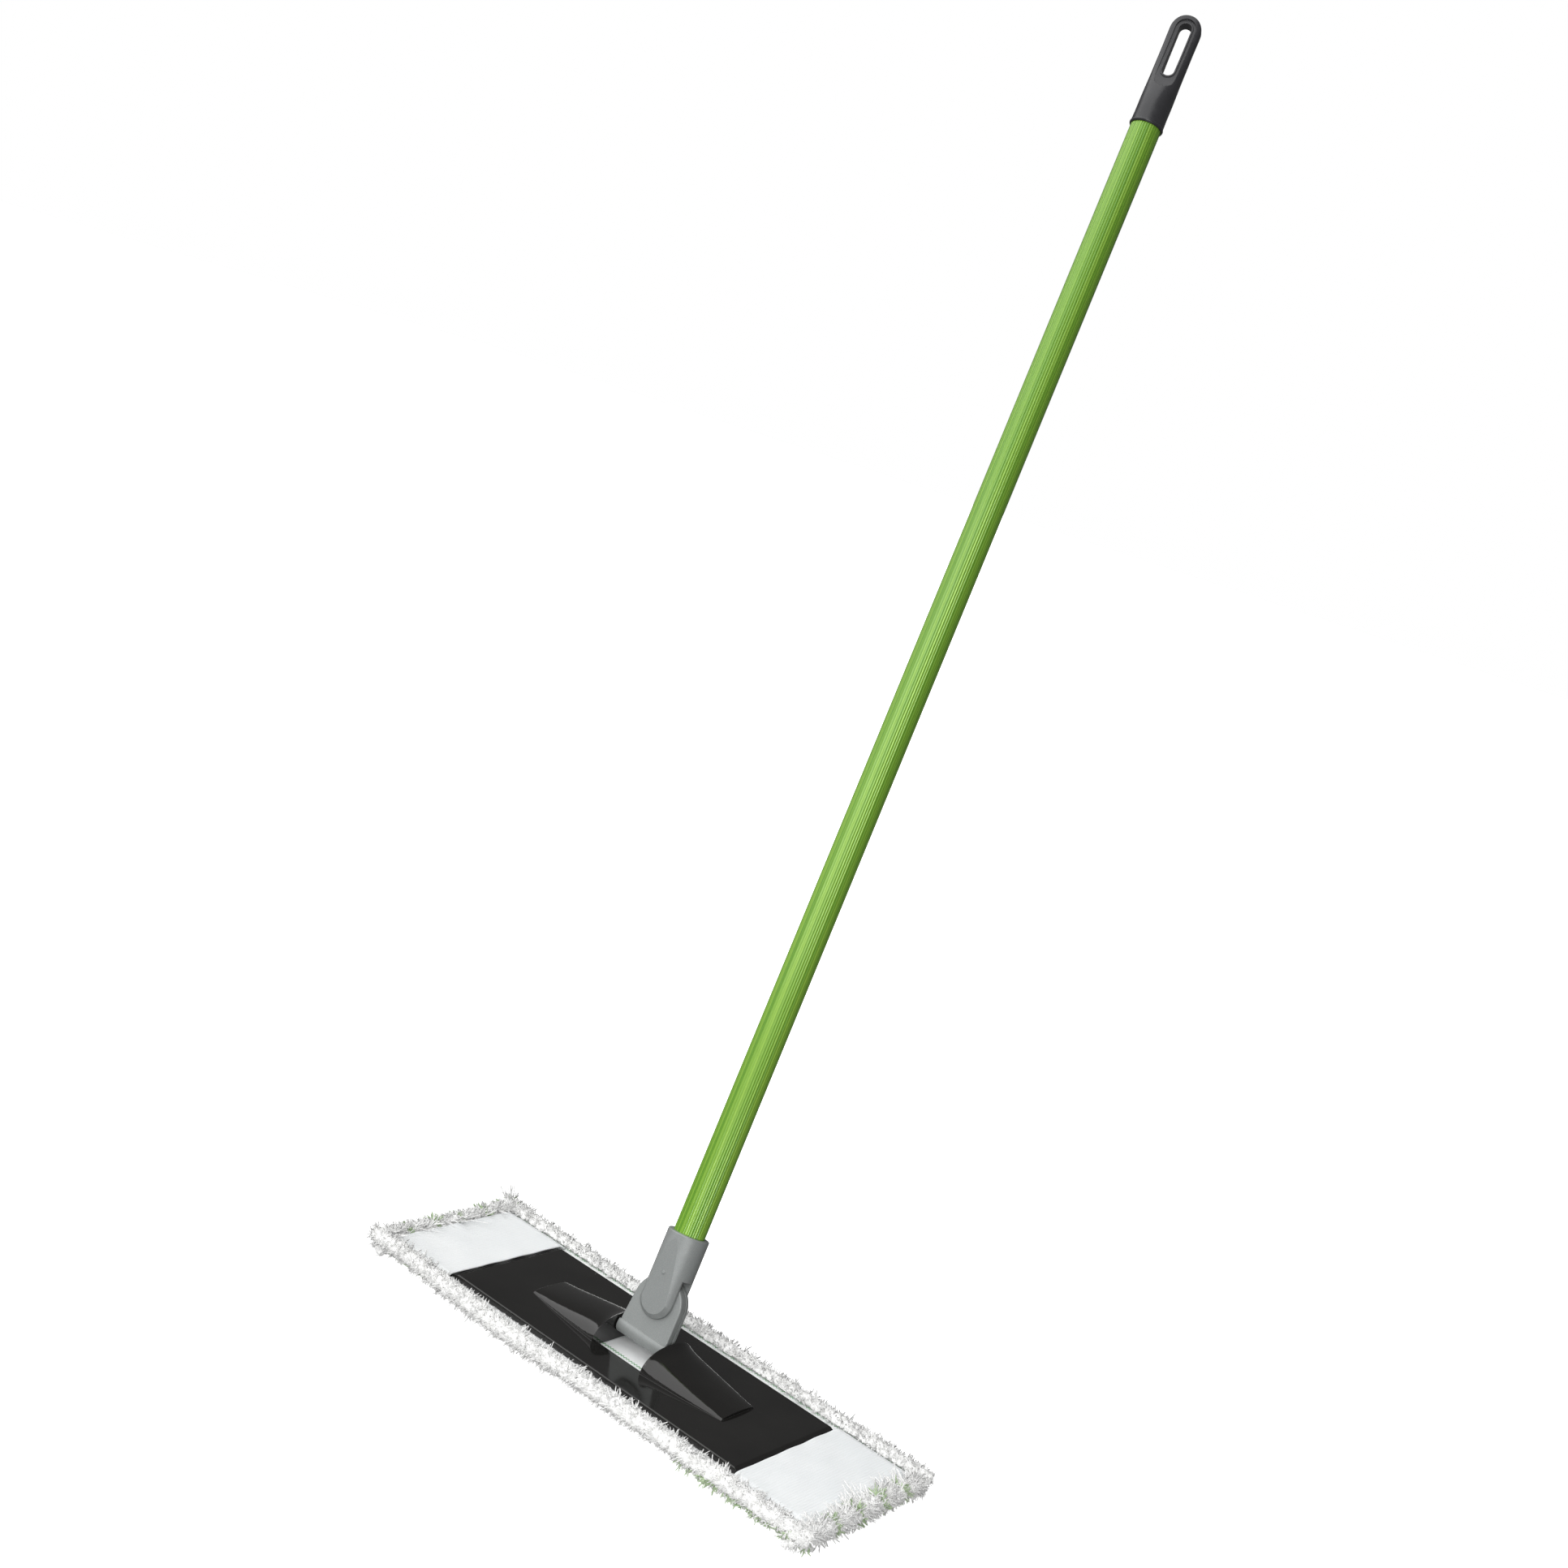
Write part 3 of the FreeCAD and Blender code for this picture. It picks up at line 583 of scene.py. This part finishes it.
def build_sole():
    rng = np.random.default_rng(SEED + 1)
    low, high = (np.array(corner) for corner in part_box("pad_sole_pile"))
    spots, normals = sole_side_spots(rng, low, high, 3.1 * MM)
    side = tufts(rng, spots, normals, 0.7 * MM, np.full(len(spots), 3.8 * MM), STRAND, 5, 0.4)
    balls = lumps(rng, sole_side_spots(rng, low, high, 3.8 * MM)[0], 2.3 * MM)
    step = 5.2 * MM
    xs = np.arange(low[0] + step, high[0] - step / 2, step)
    ys = np.arange(low[1] + step, high[1] - step / 2, step)
    under = np.array([(x, y, UNDERSIDE_LEVEL) for x in xs for y in ys])
    under[:, :2] += rng.uniform(-0.4, 0.4, (len(under), 2)) * step
    clear = np.min(np.abs(under[:, 1:2] - np.array(STRIPE_LINES)), axis=1) > STRIPE_HALF
    clear &= (np.abs(under[:, :2]) < np.array(UNDERSIDE)).all(axis=1)
    under = under[clear]
    down = unit(rng.normal(0, 0.7, (len(under), 3)) * (1, 1, 0) + (0, 0, -0.75))
    bottom = tufts(rng, under, down, 0.7 * MM, np.full(len(under), UNDERSIDE_LENGTH), 1.0 * MM, 3, 0.4)
    core_low, core_high = inset_box("pad_sole_pile", ((16 * MM, 17 * MM, 2.4 * MM), (16 * MM, 17 * MM, 0)))
    core = core_of("pad_sole_pile", core_low, core_high)
    for name, parts in (("pile_sole", (core, bottom)), ("pile_sole_edge", (balls, side))):
        soften(add_piece(name, *joined(*parts), WHITE_PILE, "head", "pile_white",
                         ("pad_sole_pile",)), *SOLE_SOFT)


def build_sole_stripes():
    rng = np.random.default_rng(SEED + 2)
    end_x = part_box("pad_sole_stripes")[1].x
    step = 3.0 * MM
    parts = []
    for y in STRIPE_LINES[1:-1]:
        xs = np.arange(-UNDERSIDE[0], UNDERSIDE[0], step)
        under = np.array([(x, y + side * 1.1 * MM, UNDERSIDE_LEVEL) for x in xs for side in (-1, 1)])
        down = unit(rng.normal(0, 0.6, (len(under), 3)) * (1, 1, 0) + (0, 0, -0.8))
        length = np.full(len(under), UNDERSIDE_LENGTH)
        parts.append(tufts(rng, under, down, 0.5 * MM, length, 0.9 * MM, 3, 0.4))
        for sign in (-1, 1):
            end = np.array([(sign * (end_x - sole_tuck(z * MM)), y + side * 1.2 * MM, z * MM)
                            for side in (-1, 1) for z in (3, 5, 7)])
            out = np.tile((float(sign), 0, 0.0), (len(end), 1))
            length = np.full(len(end), 5.2 * MM)
            parts.append(tufts(rng, end, out, 0.5 * MM, length, 0.55 * MM, 6, 0.36))
    rise = rng.uniform(2.5, 7.5, GREEN_EDGE_TUFTS)
    x = rng.uniform(*GREEN_EDGE_SPAN, GREEN_EDGE_TUFTS)
    edge = np.stack([x, SOLE_SLOPE * (SOLE_TOP / MM - rise) - GREEN_EDGE_DEPTH, rise], 1) * MM
    out = np.tile((0.0, -1.0, -0.2), (GREEN_EDGE_TUFTS, 1))
    round_corners(edge, out, *SOLE_OUTLINE)
    length = np.full(GREEN_EDGE_TUFTS, 4.4 * MM)
    parts.append(tufts(rng, edge, out, 0.8 * MM, length, GREEN_STRAND, 6, 0.36))
    parts.append(lumps(rng, edge[::2], 2.0 * MM))
    inset = (11 * MM, 3 * MM)
    core_low, core_high = inset_box("pad_sole_stripes", ((*inset, 2.4 * MM), (*inset, 0)))
    parts.append(core_of("pad_sole_stripes", core_low, core_high))
    soften(add_piece("pile_sole_stripes", *joined(*parts), GREEN_PILE, "head", "pile_green",
                     ("pad_sole_stripes",)), *SOLE_SOFT)


def grid_sheet(name, xs, ys, height, thickness, material, slot, replaced):
    """A closed cloth sheet: height(x, y) is its upper face."""
    x, y = np.meshgrid(xs, ys, indexing="ij")
    z = height(x, y)
    upper = np.stack([x, y, z], -1).reshape(-1, 3)
    lower = upper - (0, 0, thickness)
    rows, columns = len(xs), len(ys)
    size = rows * columns
    faces = []
    for i in range(rows - 1):
        for j in range(columns - 1):
            a, b = i * columns + j, (i + 1) * columns + j
            c, d = b + 1, a + 1
            faces.append((a, b, c, d))
            faces.append((size + d, size + c, size + b, size + a))
    edge = [i * columns for i in range(rows)]
    edge += [(rows - 1) * columns + j for j in range(1, columns)]
    edge += [i * columns + columns - 1 for i in range(rows - 2, -1, -1)]
    edge += [j for j in range(columns - 2, 0, -1)]
    for a, b in zip(edge, edge[1:] + edge[:1]):
        faces.append((b, a, size + a, size + b))
    return add_piece(name, np.concatenate([upper, lower]), faces, material, "head", slot, replaced)


def build_backing():
    low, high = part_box("pad_backing")

    def height(x, y):
        return high.z - 0.12 * MM + 0.1 * MM * np.sin(x * 160 + 3 * np.sin(y * 60)) * np.sin(y * 130)

    made = grid_sheet("backing_sheet", np.linspace(low.x, high.x, 164), np.linspace(low.y, high.y, 60),
                      height, 1.2 * MM, BACKING, "backing_cloth", ("pad_backing",))


def build_pocket(side, sign):
    node = "pocket_" + side
    low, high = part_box(node)
    mouth, end = (low.x, high.x) if sign > 0 else (-high.x, -low.x)
    half = high.y
    foot, top = low.z, high.z

    def height(x, y):
        along = sign * x
        rim = smooth_step((half - np.abs(y)) / (8.2 * MM)) * smooth_step((end - along) / (4.2 * MM))
        ripple = 0.16 * np.sin(y * 150 + along * 40) * np.sin(along * 110 + 2 * sign)
        ripple = ripple + 0.22 * np.exp(-((along - mouth) / (3 * MM)) ** 2) * np.sin(y * 210 + sign)
        return foot + 1.3 * MM + (top - foot - 1.45 * MM) * rim + ripple * MM * rim

    xs = np.linspace(mouth, end, 52) * sign
    ys = np.linspace(low.y, high.y, 120) * sign
    made = grid_sheet(node + "_sheet", xs, ys, height, 1.0 * MM, POCKET, "pocket_cloth", (node,))


def thread_tube(points, radius, sides=5):
    """A closed thread along points."""
    points = np.asarray(points, float)
    ways = unit(np.gradient(points, axis=0))
    side = unit(np.cross(ways, (0.0, 0.0, 1.0)))
    over = np.cross(side, ways)
    rings = []
    for k in range(sides):
        a = 2 * math.pi * k / sides
        rings.append(points + radius * (side * math.cos(a) + over * math.sin(a)))
    grid = np.stack(rings, 1)
    faces = []
    for i in range(len(points) - 1):
        for k in range(sides):
            m = (k + 1) % sides
            faces.append((i * sides + k, (i + 1) * sides + k, (i + 1) * sides + m, i * sides + m))
    faces.append(tuple(range(sides)))
    last = (len(points) - 1) * sides
    faces.append(tuple(last + k for k in reversed(range(sides))))
    return grid.reshape(-1, 3), faces


def build_stripe_stitches():
    low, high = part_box("pad_stripe_stitches")
    pitch = 2.6 * MM
    count = int((high.x - low.x) / pitch)
    parts = []
    for y in STRIPE_LINES:
        sink = 0.5 * MM if abs(y) > 60 * MM else 0.0
        points = []
        for i in range(2 * count + 1):
            side = 1.05 * MM if i % 2 else -1.05 * MM
            z = low.z + 0.12 * MM - sink * (0.6 + 0.4 * math.sin(i))
            points.append((low.x + i * pitch / 2, y + side, z))
        parts.append(thread_tube(points, 0.34 * MM))
    add_piece("stripe_stitching", *joined(*parts), GREEN_THREAD, "head", "green_yarn",
              ("pad_stripe_stitches",))


def build_seams():
    low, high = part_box("pocket_seams")
    stitch, gap = 2.3 * MM, 0.7 * MM
    z = high.z
    parts = []

    def row(start, finish):
        start, finish = np.array(start), np.array(finish)
        length = np.linalg.norm(finish - start)
        way = (finish - start) / length
        for k in range(int(length / (stitch + gap))):
            a = start + way * k * (stitch + gap)
            spots = [a + way * stitch * t + np.array((0, 0, rise * MM))
                     for t, rise in ((0, -0.5), (0.15, 0), (0.5, 0.12), (0.85, 0), (1, -0.5))]
            parts.append(thread_tube(spots, 0.3 * MM))

    for sign in (-1, 1):
        inner, outer = 0.1395 * sign, (high.x - 0.4 * MM) * sign
        for y in (low.y + 0.5 * MM, high.y - 0.5 * MM):
            row((inner, y, z), (outer, y, z))
        row((outer, low.y + 2 * MM, z), (outer, high.y - 2 * MM, z))
    add_piece("pocket_stitching", *joined(*parts), SEAM_THREAD, "head", "seam_thread", ("pocket_seams",))


build_sole()
build_sole_stripes()
for number, fringe_node in enumerate(ROLLS):
    build_fringe(fringe_node, SEED + 5 + number)
build_fringe_stripes()
build_backing()
build_pocket("left", -1)
build_pocket("right", 1)
build_stripe_stitches()
build_seams()


# ------------------------------------------------------------------ stage, light and camera

AZIMUTH = math.radians(33.26)
ELEVATION = math.radians(10.16)
ROLL = math.radians(17.51)
DISTANCE = 1.41267
TARGET = Vector((-0.02921, 0.0, 0.44153))
SENSOR = 36.0
SOFTBOX_WAY = Vector((-0.45, -0.45, 0.77))
SOFTBOX_EDGES = (48, 44)
SOFTBOX_LIGHT = 1.8
ROOM_LIGHT = 0.14
FOCAL_IN_FRAME_WIDTHS = 1.29089


def add_camera():
    level = math.cos(ELEVATION)
    back = Vector((math.sin(AZIMUTH) * level, -math.cos(AZIMUTH) * level, math.sin(ELEVATION)))
    right = Vector((math.cos(AZIMUTH), math.sin(AZIMUTH), 0))
    up = back.cross(right)
    rolled_right = right * math.cos(ROLL) + up * math.sin(ROLL)
    rolled_up = up * math.cos(ROLL) - right * math.sin(ROLL)
    data = bpy.data.cameras.new("camera")
    data.sensor_width = SENSOR
    data.lens = SENSOR * FOCAL_IN_FRAME_WIDTHS
    data.clip_end = 100
    camera = bpy.data.objects.new("camera", data)
    turn = Matrix((rolled_right, rolled_up, back)).transposed().to_4x4()
    camera.matrix_world = Matrix.Translation(TARGET + back * DISTANCE) @ turn
    bpy.context.scene.collection.objects.link(camera)
    bpy.context.scene.camera = camera


def add_floor():
    reach = 30.0
    mesh = bpy.data.meshes.new("floor")
    mesh.from_pydata([(-reach, -reach, 0), (reach, -reach, 0), (reach, reach, 0), (-reach, reach, 0)],
                     [], [(0, 1, 2, 3)])
    f = Finish("floor_white", Roughness=0.9, Specular_IOR_Level=0.0, Emission_Strength=0.85)
    f.shader.inputs["Emission Color"].default_value = (1, 1, 1, 1)
    f.feed("Base Color", f.ramp(f.noise(3, 3), (0.90, 0.90, 0.90), (0.93, 0.93, 0.93)))
    mesh.materials.append(f.material)
    floor = bpy.data.objects.new("floor", mesh)
    bpy.context.scene.collection.objects.link(floor)
    floor.visible_diffuse = False
    floor.visible_glossy = False


def add_light(name, place, aim, size, power, shape="SQUARE"):
    data = bpy.data.lights.new(name, "AREA")
    data.shape = shape
    if shape == "RECTANGLE":
        data.size, data.size_y = size
    else:
        data.size = size
    data.energy = power
    light = bpy.data.objects.new(name, data)
    light.location = place
    light.rotation_euler = (Vector(aim) - Vector(place)).to_track_quat("-Z", "Y").to_euler()
    bpy.context.scene.collection.objects.link(light)


def add_world():
    world = bpy.data.worlds.new("studio")
    bpy.context.scene.world = world
    world.use_nodes = True
    tree = world.node_tree
    tree.nodes.clear()
    where = tree.nodes.new("ShaderNodeTexCoord")
    toward = tree.nodes.new("ShaderNodeVectorMath")
    toward.operation = "DOT_PRODUCT"
    tree.links.new(where.outputs["Generated"], toward.inputs[0])
    toward.inputs[1].default_value = SOFTBOX_WAY.normalized()
    rise = tree.nodes.new("ShaderNodeMapRange")
    rise.interpolation_type = "SMOOTHSTEP"
    tree.links.new(toward.outputs["Value"], rise.inputs["Value"])
    outer, inner = (math.cos(math.radians(a)) for a in SOFTBOX_EDGES)
    limits = {"From Min": outer, "From Max": inner, "To Min": ROOM_LIGHT, "To Max": SOFTBOX_LIGHT}
    for key, value in limits.items():
        rise.inputs[key].default_value = value
    dome = tree.nodes.new("ShaderNodeBackground")
    tree.links.new(rise.outputs[0], dome.inputs["Strength"])
    plain = tree.nodes.new("ShaderNodeBackground")
    for background in (dome, plain):
        background.inputs["Color"].default_value = (1, 1, 1, 1)
    rays = tree.nodes.new("ShaderNodeLightPath")
    mix = tree.nodes.new("ShaderNodeMixShader")
    tree.links.new(rays.outputs["Is Camera Ray"], mix.inputs[0])
    tree.links.new(dome.outputs[0], mix.inputs[1])
    tree.links.new(plain.outputs[0], mix.inputs[2])
    output = tree.nodes.new("ShaderNodeOutputWorld")
    tree.links.new(mix.outputs[0], output.inputs["Surface"])


add_world()
add_floor()
add_light("front", (0.9, -2.2, 1.5), (0, 0, 0.3), 1.1, 26)
add_light("low", (1.1, -1.25, 0.25), (0, 0, 0.02), (1.2, 0.3), 7, "RECTANGLE")
add_camera()
bpy.context.scene.view_settings.view_transform = "Standard"
